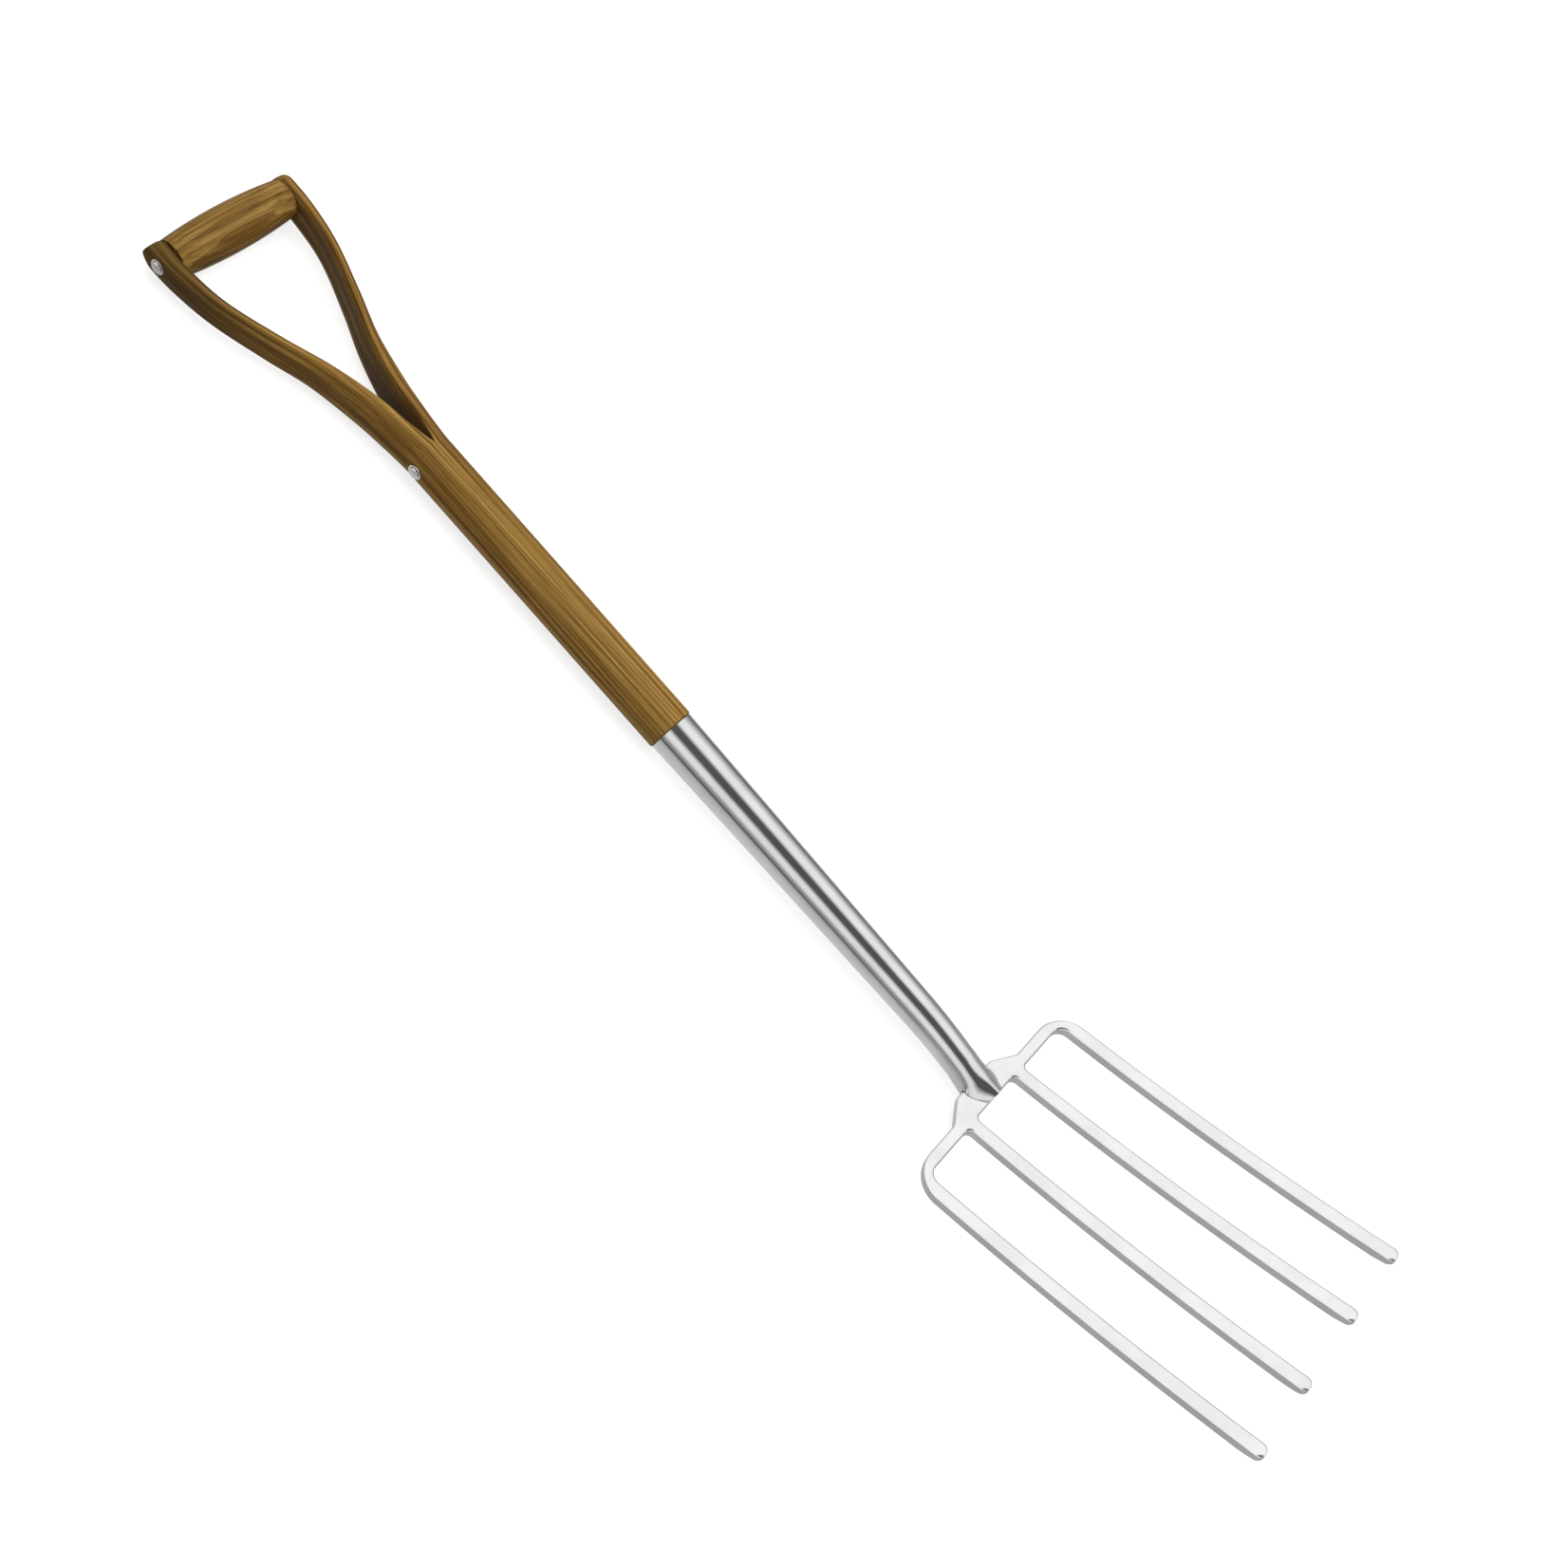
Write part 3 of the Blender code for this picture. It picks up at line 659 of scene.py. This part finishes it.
def plate_cutter():
    """Build the slot that clears the root plate by the joint gap."""
    mesh_data = bmesh.new()
    bmesh.ops.create_cube(mesh_data, size=1.0)
    size = Vector((PLATE_SLOT_LENGTH, PLATE_SLOT_WIDTH, PLATE_THICKNESS + 2.0 * GAP))
    bmesh.ops.scale(mesh_data, vec=size, verts=mesh_data.verts)
    along = BOSS_TOP - GAP + 0.5 * PLATE_SLOT_LENGTH
    centre = head_point(along, 0.0, 0.5 * PLATE_THICKNESS, straight=True)
    turn = Matrix.Rotation(-ROOT_ANGLE, 4, "Y")
    bmesh.ops.transform(mesh_data, matrix=Matrix.Translation(centre) @ turn, verts=mesh_data.verts)
    return to_object("plate_slot", mesh_data)


def socket_rivet_cutter(name):
    """Build the hole for the rivet on the back of the socket."""
    start = (SOCKET_RIVET_X, 0.0, -socket_radius(SOCKET_RIVET_X))
    profile = [(-CUT_BEYOND, ROD_RADIUS + GAP), (SOCKET_RIVET_DEPTH + GAP, ROD_RADIUS + GAP)]
    return to_object(name, revolve(profile, start, (0.0, 0.0, 1.0)))


# ---------------------------------------------------------------- fork head

def head_point(along, across, depth, straight=False):
    """Map a point of the flat head pattern onto the curved front surface and below it."""
    if along <= 0.0 or straight:
        angle = ROOT_ANGLE
        x = ROOT_X + along * math.cos(angle)
        z = ROOT_Z + along * math.sin(angle)
    else:
        angle = ROOT_ANGLE + along / TINE_RADIUS
        x = ROOT_X + TINE_RADIUS * (math.sin(angle) - math.sin(ROOT_ANGLE))
        z = ROOT_Z + TINE_RADIUS * (math.cos(ROOT_ANGLE) - math.cos(angle))
    return Vector((x + depth * math.sin(angle), across, z - depth * math.cos(angle)))


def half_pattern():
    """Return the corners of half the flat head pattern with their rounding radii."""
    return [
        ((BOSS_TOP, 0.0), 0.0),
        ((BOSS_TOP, BOSS_HALF_WIDTH), BOSS_RADIUS),
        ((BAR_TOP, BAR_TOP_START), BOSS_RADIUS),
        ((BAR_TOP, OUTER_ROOT[1]), SHOULDER_RADIUS),
        ((TINE_END, OUTER_TIP[1]), TIP_RADIUS),
        ((TINE_END, OUTER_TIP[0]), TIP_RADIUS),
        ((OUTER_WINDOW_EDGE, OUTER_ROOT[0]), WINDOW_OUTER_RADIUS),
        ((OUTER_WINDOW_EDGE, INNER_ROOT[1]), WINDOW_INNER_RADIUS),
        ((TINE_END, INNER_TIP[1]), TIP_RADIUS),
        ((TINE_END, INNER_TIP[0]), TIP_RADIUS),
        ((WINDOW_EDGE, INNER_ROOT[0]), WINDOW_INNER_RADIUS),
        ((WINDOW_EDGE, 0.0), 0.0),
    ]


def round_corner(before, corner, after, radius):
    """Return the arc that rounds one corner of a flat pattern."""
    before, corner, after = Vector(before), Vector(corner), Vector(after)
    to_before = (before - corner).normalized()
    to_after = (after - corner).normalized()
    half = 0.5 * math.acos(max(-1.0, min(1.0, to_before.dot(to_after))))
    reach = radius / math.tan(half)
    centre = corner + (to_before + to_after).normalized() * (radius / math.sin(half))
    start = corner + to_before * reach - centre
    end = corner + to_after * reach - centre
    turn = start.angle_signed(end)
    steps = max(FEWEST_ARC_STEPS, round(abs(turn) / ARC_STEP))
    points = []
    for i in range(steps + 1):
        points.append(centre + Matrix.Rotation(-turn * i / steps, 2) @ start)
    return points


def subdivide(points):
    """Split the long straight sides of an outline into even steps."""
    result = []
    for first, second in zip(points, points[1:]):
        count = max(1, round((second - first).length / SIDE_STEP))
        for i in range(count):
            result.append(first.lerp(second, i / count))
    result.append(points[-1])
    return result


def head_outline():
    """Return the closed flat outline of the head, symmetric about the middle plane."""
    corners = half_pattern()
    half = [Vector(corners[0][0])]
    for before, current, after in zip(corners, corners[1:], corners[2:]):
        half += round_corner(before[0], current[0], after[0], current[1])
    half.append(Vector(corners[-1][0]))
    half = subdivide(half)
    mirrored = [Vector((p.x, -p.y)) for p in reversed(half[1:-1])]
    return half + mirrored


def outline_normals(outline):
    """Return the inward normal of every outline point."""
    normals = []
    count = len(outline)
    for i in range(count):
        along = (outline[(i + 1) % count] - outline[i - 1]).normalized()
        normals.append(Vector((along.y, -along.x)))
    return normals


def tip_depth(along, depth):
    """Thin the tine from its back towards the tip."""
    t = (along - (TINE_LENGTH - TIP_THINNING_LENGTH)) / TIP_THINNING_LENGTH
    thin = TIP_THINNING * smooth_step(t)
    return depth * (PLATE_THICKNESS - thin) / PLATE_THICKNESS


def build_head():
    """Build the head as a round edged plate cut to the flat pattern and bent along the tines."""
    outline = head_outline()
    normals = outline_normals(outline)
    layers = []
    for i in range(HEAD_EDGE_STEPS + 1):
        angle = 0.5 * math.pi * i / HEAD_EDGE_STEPS
        inset = HEAD_EDGE_INSET * (1.0 - math.sin(angle))
        layers.append((inset, HEAD_EDGE_ROUND * (1.0 - math.cos(angle))))
    layers += [(inset, PLATE_THICKNESS - depth) for inset, depth in reversed(layers)]

    mesh_data = bmesh.new()
    rows = []
    for inset, depth in layers:
        row = []
        for point, normal in zip(outline, normals):
            flat = point + normal * inset
            row.append(mesh_data.verts.new(head_point(flat.x, flat.y, tip_depth(flat.x, depth))))
        rows.append(row)
    for first, second in zip(rows, rows[1:]):
        bridge(mesh_data, first, second)
    inner_outline = [point + normal * HEAD_EDGE_INSET for point, normal in zip(outline, normals)]
    count = len(inner_outline)
    edges = [(i, (i + 1) % count) for i in range(count)]
    result = delaunay_2d_cdt(inner_outline, edges, [list(range(count))], 1, MERGE_DISTANCE)
    for triangle in result[2]:
        source = [result[3][i][0] for i in triangle]
        mesh_data.faces.new([rows[0][i] for i in source])
        mesh_data.faces.new([rows[-1][i] for i in reversed(source)])
    head = to_object("polished_head", mesh_data)
    place(head, "fork_head", HEAD_STEEL)


# ---------------------------------------------------------------- materials

class Nodes:
    """Short way to add and link shader nodes in one material or world."""

    def __init__(self, owner):
        if isinstance(owner, str):
            owner = bpy.data.materials.new(owner)
            owner.use_nodes = True
        self.material = owner
        self.tree = owner.node_tree
        self.shader = self.tree.nodes.get("Principled BSDF") or self.tree.nodes.get("Background")

    def add(self, kind, settings=None, **inputs):
        """Add a node, set its properties and give each named input a value or a link."""
        node = self.tree.nodes.new(kind)
        for name, value in (settings or {}).items():
            setattr(node, name, value)
        for name, value in inputs.items():
            self.feed(node, name.replace("_", " "), value)
        return node

    def feed(self, node, name, value):
        """Give one input of a node a value or a link; a digit at the end picks among equal names."""
        socket = node.inputs[int(name)] if name.isdigit() else node.inputs[name]
        if isinstance(value, bpy.types.NodeSocket):
            self.tree.links.new(value, socket)
        else:
            socket.default_value = value

    def maths(self, operation, first, second=0.0):
        """Return the result of one arithmetic step."""
        node = self.add("ShaderNodeMath", {"operation": operation})
        self.feed(node, "0", first)
        self.feed(node, "1", second)
        return node.outputs[0]

    def ramp(self, factor, stops):
        """Return a colour read from (position, colour) stops."""
        node = self.add("ShaderNodeValToRGB", Fac=factor)
        elements = node.color_ramp.elements
        while len(elements) < len(stops):
            elements.new(0.5)
        for element, (position, colour) in zip(elements, stops):
            element.position = position
            element.color = (*colour, 1.0)
        return node.outputs["Color"]

    def mix(self, factor, first, second, blend="MIX"):
        """Return a mix of two colours."""
        node = self.tree.nodes.new("ShaderNodeMix")
        node.data_type = "RGBA"
        node.blend_type = blend
        self.feed(node, "0", factor)
        self.feed(node, "6", first)
        self.feed(node, "7", second)
        return node.outputs[2]

    def stretched(self, source, scale, offset=(0.0, 0.0, 0.0)):
        """Return a coordinate scaled along each axis."""
        node = self.add("ShaderNodeMapping", Vector=source, Scale=scale, Location=offset)
        return node.outputs["Vector"]


def ash_material():
    """Oiled and varnished ash: growth rings, long fibres, short dark pores, a thin glossy coat and painted
    shade carried in from the pieces.
    """
    nodes = Nodes("varnished_ash")
    grain = nodes.add("ShaderNodeAttribute", {"attribute_name": "grain"}).outputs["Vector"]

    rings = nodes.add(
        "ShaderNodeTexWave",
        {"wave_type": "RINGS", "rings_direction": "X", "wave_profile": "SAW"},
        Vector=nodes.stretched(grain, (0.045, 1.0, 1.0), (0.0, 0.105, 0.060)),
        Scale=62.0, Distortion=9.0, Detail=3.0, Detail_Scale=0.6,
    ).outputs["Fac"]
    streaks = nodes.add(
        "ShaderNodeTexNoise", Vector=nodes.stretched(grain, (3.0, 260.0, 260.0), (2.0, 5.0, 4.0)),
        Scale=1.0, Detail=3.0, Roughness=0.55,
    ).outputs["Fac"]
    fibre = nodes.add(
        "ShaderNodeTexNoise", Vector=nodes.stretched(grain, (11.0, 900.0, 900.0)),
        Scale=1.0, Detail=3.0, Roughness=0.60,
    ).outputs["Fac"]
    pores = nodes.add(
        "ShaderNodeTexNoise", Vector=nodes.stretched(grain, (55.0, 2300.0, 2300.0), (3.0, 7.0, 1.0)),
        Scale=1.0, Detail=2.0, Roughness=0.5,
    ).outputs["Fac"]
    broad = nodes.add(
        "ShaderNodeTexNoise", Vector=nodes.stretched(grain, (3.5, 75.0, 75.0), (5.0, 2.0, 9.0)),
        Scale=1.0, Detail=2.0, Roughness=0.5,
    ).outputs["Fac"]

    parts = ((rings, 0.24), (streaks, 0.80), (fibre, 1.00), (broad, 0.55))
    tone = nodes.maths("MULTIPLY", parts[0][0], parts[0][1])
    for part, weight in parts[1:]:
        tone = nodes.maths("ADD", tone, nodes.maths("MULTIPLY", part, weight))
    tone = nodes.maths("SUBTRACT", tone, 0.77)
    colour = nodes.ramp(tone, [
        (0.10, (0.066, 0.026, 0.0040)),
        (0.36, (0.158, 0.078, 0.0140)),
        (0.60, (0.280, 0.155, 0.0330)),
        (0.90, (0.460, 0.285, 0.0820)),
    ])
    pore_mask = nodes.ramp(pores, [(0.30, (0.0, 0.0, 0.0)), (0.44, (1.0, 1.0, 1.0))])
    colour = nodes.mix(0.35, colour, pore_mask, "MULTIPLY")
    # darkening factor from each piece, which on the arms includes painted shade on their inner faces
    shade = nodes.add("ShaderNodeAttribute", {"attribute_name": "shade"}).outputs["Color"]
    colour = nodes.mix(1.0, colour, shade, "MULTIPLY")
    nodes.feed(nodes.shader, "Base Color", colour)

    rough = nodes.add("ShaderNodeMapRange", Value=fibre, To_Min=0.42, To_Max=0.60).outputs["Result"]
    nodes.feed(nodes.shader, "Roughness", rough)
    relief = nodes.maths("ADD", nodes.maths("MULTIPLY", fibre, 0.6), nodes.maths("MULTIPLY", pores, 0.4))
    bump = nodes.add("ShaderNodeBump", Strength=0.25, Distance=0.0004, Height=relief)
    nodes.feed(nodes.shader, "Normal", bump.outputs["Normal"])
    nodes.feed(nodes.shader, "Coat Weight", 0.03)
    nodes.feed(nodes.shader, "Coat Roughness", 0.25)
    nodes.feed(nodes.shader, "Specular IOR Level", 0.07)
    return nodes.material


def steel_material(name, colour, low, high, brush_scale):
    """Polished stainless steel with faint brushing along the tool and slightly uneven gloss."""
    nodes = Nodes(name)
    place_at = nodes.add("ShaderNodeTexCoord").outputs["Object"]
    brush = nodes.add(
        "ShaderNodeTexNoise", Vector=nodes.stretched(place_at, brush_scale),
        Scale=1.0, Detail=3.0, Roughness=0.6,
    ).outputs["Fac"]
    cloud = nodes.add(
        "ShaderNodeTexNoise", Vector=place_at, Scale=38.0, Detail=3.0, Roughness=0.55,
    ).outputs["Fac"]
    wear = nodes.maths("ADD", nodes.maths("MULTIPLY", brush, 0.65), nodes.maths("MULTIPLY", cloud, 0.35))
    rough = nodes.add("ShaderNodeMapRange", Value=wear, To_Min=low, To_Max=high, From_Min=0.3, From_Max=0.7)
    nodes.feed(nodes.shader, "Roughness", rough.outputs["Result"])
    darker = tuple(0.93 * value for value in colour)
    tint = nodes.ramp(cloud, [(0.35, darker), (0.62, colour)])
    nodes.feed(nodes.shader, "Base Color", tint)
    bump = nodes.add("ShaderNodeBump", Strength=0.05, Distance=0.0001, Height=brush)
    nodes.feed(nodes.shader, "Normal", bump.outputs["Normal"])
    nodes.feed(nodes.shader, "Metallic", 1.0)
    return nodes.material


# ---------------------------------------------------------------- studio

def build_floor():
    """Lay a plain pale floor, which polished metal mirrors darker below the head and to the sides."""
    mesh_data = bmesh.new()
    bmesh.ops.create_grid(mesh_data, x_segments=1, y_segments=1, size=FLOOR_REACH)
    floor = to_object("floor", mesh_data)
    floor.location = (0.0, 0.0, CAD_LOW.z)
    nodes = Nodes("pale_floor")
    path = nodes.add("ShaderNodeLightPath")
    seen = path.outputs["Is Camera Ray"]
    mirrored = path.outputs["Is Glossy Ray"]
    place_at = nodes.add("ShaderNodeTexCoord").outputs["Object"]
    parts = nodes.add("ShaderNodeSeparateXYZ", Vector=place_at)
    away = nodes.maths("ABSOLUTE", parts.outputs["Y"])
    beside_socket = nodes.add(
        "ShaderNodeMapRange", Value=away, From_Min=FLOOR_FADE[0], From_Max=FLOOR_FADE[1],
        To_Min=FLOOR_MIRRORED, To_Max=FLOOR_MIRRORED_FAR,
    ).outputs["Result"]
    fade = nodes.add(
        "ShaderNodeMapRange", Value=parts.outputs["X"], From_Min=HEAD_START[0], From_Max=HEAD_START[1],
        To_Min=beside_socket, To_Max=FLOOR_MIRRORED_HEAD,
    ).outputs["Result"]
    lit = nodes.mix(seen, FLOOR_BOUNCE, FLOOR_COLOUR)
    nodes.feed(nodes.shader, "Base Color", nodes.mix(mirrored, lit, (0.0, 0.0, 0.0, 1.0)))
    nodes.feed(nodes.shader, "Emission Color", (1.0, 1.0, 1.0, 1.0))
    visible_glow = nodes.maths("MULTIPLY", seen, FLOOR_GLOW)
    mirrored_glow = nodes.maths("MULTIPLY", mirrored, fade)
    glow = nodes.maths("ADD", visible_glow, mirrored_glow)
    nodes.feed(nodes.shader, "Emission Strength", glow)
    nodes.feed(nodes.shader, "Roughness", 0.9)
    nodes.feed(nodes.shader, "Specular IOR Level", 0.0)
    floor.data.materials.append(nodes.material)


def build_world():
    """Light the studio evenly and give polished metal two soft boxes and a dark panel to mirror."""
    world = bpy.data.worlds.new("studio")
    bpy.context.scene.world = world
    world.use_nodes = True
    nodes = Nodes(world)
    parts = nodes.add("ShaderNodeSeparateXYZ", Vector=nodes.add("ShaderNodeTexCoord").outputs["Generated"])
    angle = nodes.maths("ARCTAN2", nodes.maths("MULTIPLY", parts.outputs["Y"], -1.0), parts.outputs["Z"])
    place_at = nodes.maths("ADD", nodes.maths("DIVIDE", angle, math.pi), 0.5)
    stops = []
    for start, end, brightness in PANELS:
        grey = (brightness,) * 3
        stops += [(start, grey), (end, grey)]
    panels = nodes.ramp(place_at, stops)
    step = nodes.add(
        "ShaderNodeMapRange", Value=parts.outputs["X"], From_Min=CEILING_EDGE[0], From_Max=CEILING_EDGE[1],
    ).outputs["Result"]
    mirrored = nodes.mix(step, CEILING_COLOUR, panels)
    path = nodes.add("ShaderNodeLightPath")
    lit = nodes.mix(path.outputs["Is Glossy Ray"], (AMBIENT, AMBIENT, AMBIENT, 1.0), mirrored)
    nodes.feed(nodes.shader, "Color", nodes.mix(path.outputs["Is Camera Ray"], lit, BACKDROP_COLOUR))


def build_sun():
    """Add one wide soft light from above the right side of the fork."""
    light = bpy.data.lights.new("soft_key", "SUN")
    light.energy = SUN_STRENGTH
    light.angle = SUN_SPREAD
    sun = bpy.data.objects.new("soft_key", light)
    sun.rotation_euler = (-SUN_TILT, 0.0, 0.0)
    sun.visible_glossy = False
    bpy.context.collection.objects.link(sun)


def build_camera():
    """Look down on the fork from its left side with the handle at the upper left."""
    forward = Vector((
        math.sin(CAMERA_TURN) * math.cos(CAMERA_ELEVATION),
        math.cos(CAMERA_TURN) * math.cos(CAMERA_ELEVATION),
        -math.sin(CAMERA_ELEVATION),
    ))
    level = forward.cross(Vector((0.0, 0.0, 1.0))).normalized()
    upright = level.cross(forward)
    right = level * math.cos(CAMERA_ROLL) + upright * math.sin(CAMERA_ROLL)
    up = right.cross(forward)
    data = bpy.data.cameras.new("camera")
    data.lens = CAMERA_LENS
    data.sensor_width = SENSOR_WIDTH
    camera = bpy.data.objects.new("camera", data)
    turn = Matrix((right, up, -forward)).transposed().to_4x4()
    camera.matrix_world = TOOL @ Matrix.Translation(CAMERA_AIM - forward * CAMERA_DISTANCE) @ turn
    bpy.context.collection.objects.link(camera)
    bpy.context.scene.camera = camera


TOOL = tool_frame()
WOOD = ash_material()
SOCKET_STEEL = steel_material("polished_socket_steel", (0.80, 0.80, 0.80), 0.04, 0.09, (6.0, 900.0, 900.0))
HEAD_STEEL = steel_material("polished_head_steel", (0.90, 0.90, 0.90), 0.12, 0.20, (12.0, 500.0, 500.0))
RIVET_METAL = steel_material("rivet_metal", (0.72, 0.71, 0.69), 0.18, 0.30, (900.0, 60.0, 900.0))

bpy.context.scene.view_settings.view_transform = "Standard"
build_camera()
build_floor()
build_world()
build_sun()
build_shaft()
build_grip()
GRIP_REACH = arm_crown(GRIP_X)
build_through_rivet("grip_rivet", GRIP_X, GRIP_REACH)
build_through_rivet("crotch_rivet", CROTCH_RIVET_X, SHAFT_RADIUS)
for SIDE_NAME, SIDE in (("left", -1.0), ("right", 1.0)):
    build_washer("grip_washer_" + SIDE_NAME, GRIP_X, GRIP_REACH, SIDE)
    build_washer("crotch_washer_" + SIDE_NAME, CROTCH_RIVET_X, SHAFT_RADIUS, SIDE)
build_socket()
build_socket_rivet()
build_head()
